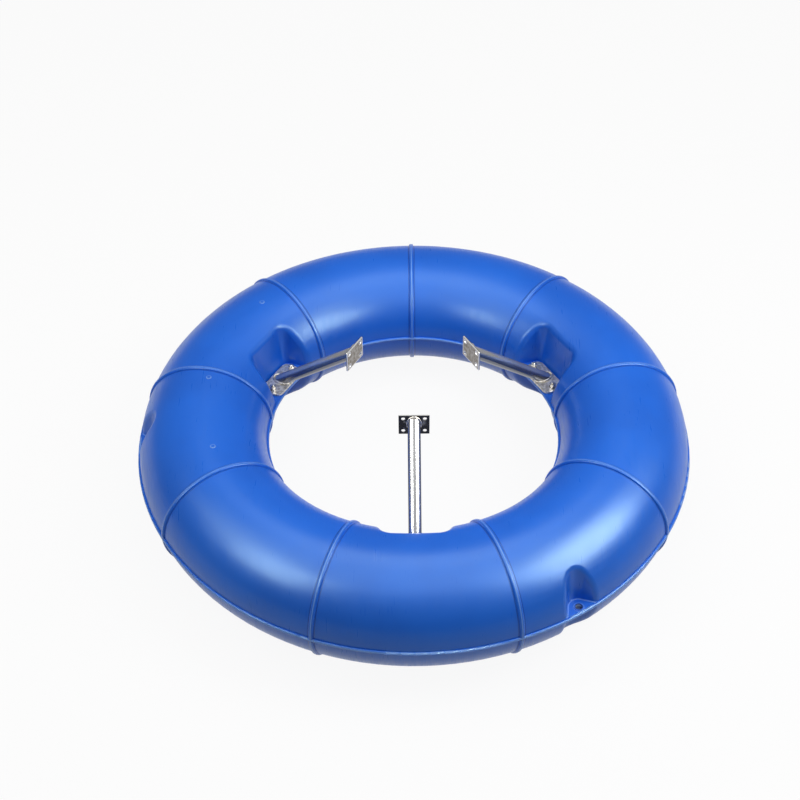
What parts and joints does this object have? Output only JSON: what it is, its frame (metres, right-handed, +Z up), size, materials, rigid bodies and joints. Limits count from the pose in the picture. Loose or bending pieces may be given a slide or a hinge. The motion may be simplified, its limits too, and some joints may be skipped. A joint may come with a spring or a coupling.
{
  "type": "surge aerator float frame",
  "caption": "Moulded ring float with three inclined stainless struts that hold a pond surge aerator drive over its open centre.",
  "frame": {"origin": "on the ring's axis, at the height of the flat underside that the ring rests on", "axes": "+Z up along the ring's axis; the front strut's foot is towards -Y, the two rear feet at 30 and 150 degrees from +X towards +Y"},
  "size_m": [1.512, 1.512, 0.409],
  "materials": {
    "float_plastic": "satin moulded polyethylene",
    "stainless_plate": "mill finish stainless plate",
    "stainless_tube": "bright polished stainless tube",
    "weld": "weld bead with heat tint",
    "fasteners": "bright stainless"
  },
  "bodies": {
    "root": {"float_ring": "float_plastic", "rear_right_foot_plate": "stainless_plate", "rear_right_strut": "stainless_tube", "rear_right_end_plate": "stainless_plate", "rear_right_foot_weld": "weld", "rear_right_head_weld": "weld", "rear_right_bolts": "fasteners", "rear_right_wide_washers": "fasteners", "rear_right_washers": "fasteners", "rear_right_spring_washers": "fasteners", "rear_right_nuts": "fasteners", "rear_left_foot_plate": "stainless_plate", "rear_left_strut": "stainless_tube", "rear_left_end_plate": "stainless_plate", "rear_left_foot_weld": "weld", "rear_left_head_weld": "weld", "rear_left_bolts": "fasteners", "rear_left_wide_washers": "fasteners", "rear_left_washers": "fasteners", "rear_left_spring_washers": "fasteners", "rear_left_nuts": "fasteners", "front_foot_plate": "stainless_plate", "front_strut": "stainless_tube", "front_end_plate": "stainless_plate", "front_foot_weld": "weld", "front_head_weld": "weld", "front_bolts": "fasteners", "front_wide_washers": "fasteners", "front_washers": "fasteners", "front_spring_washers": "fasteners", "front_nuts": "fasteners"}
  },
  "joints": []
}
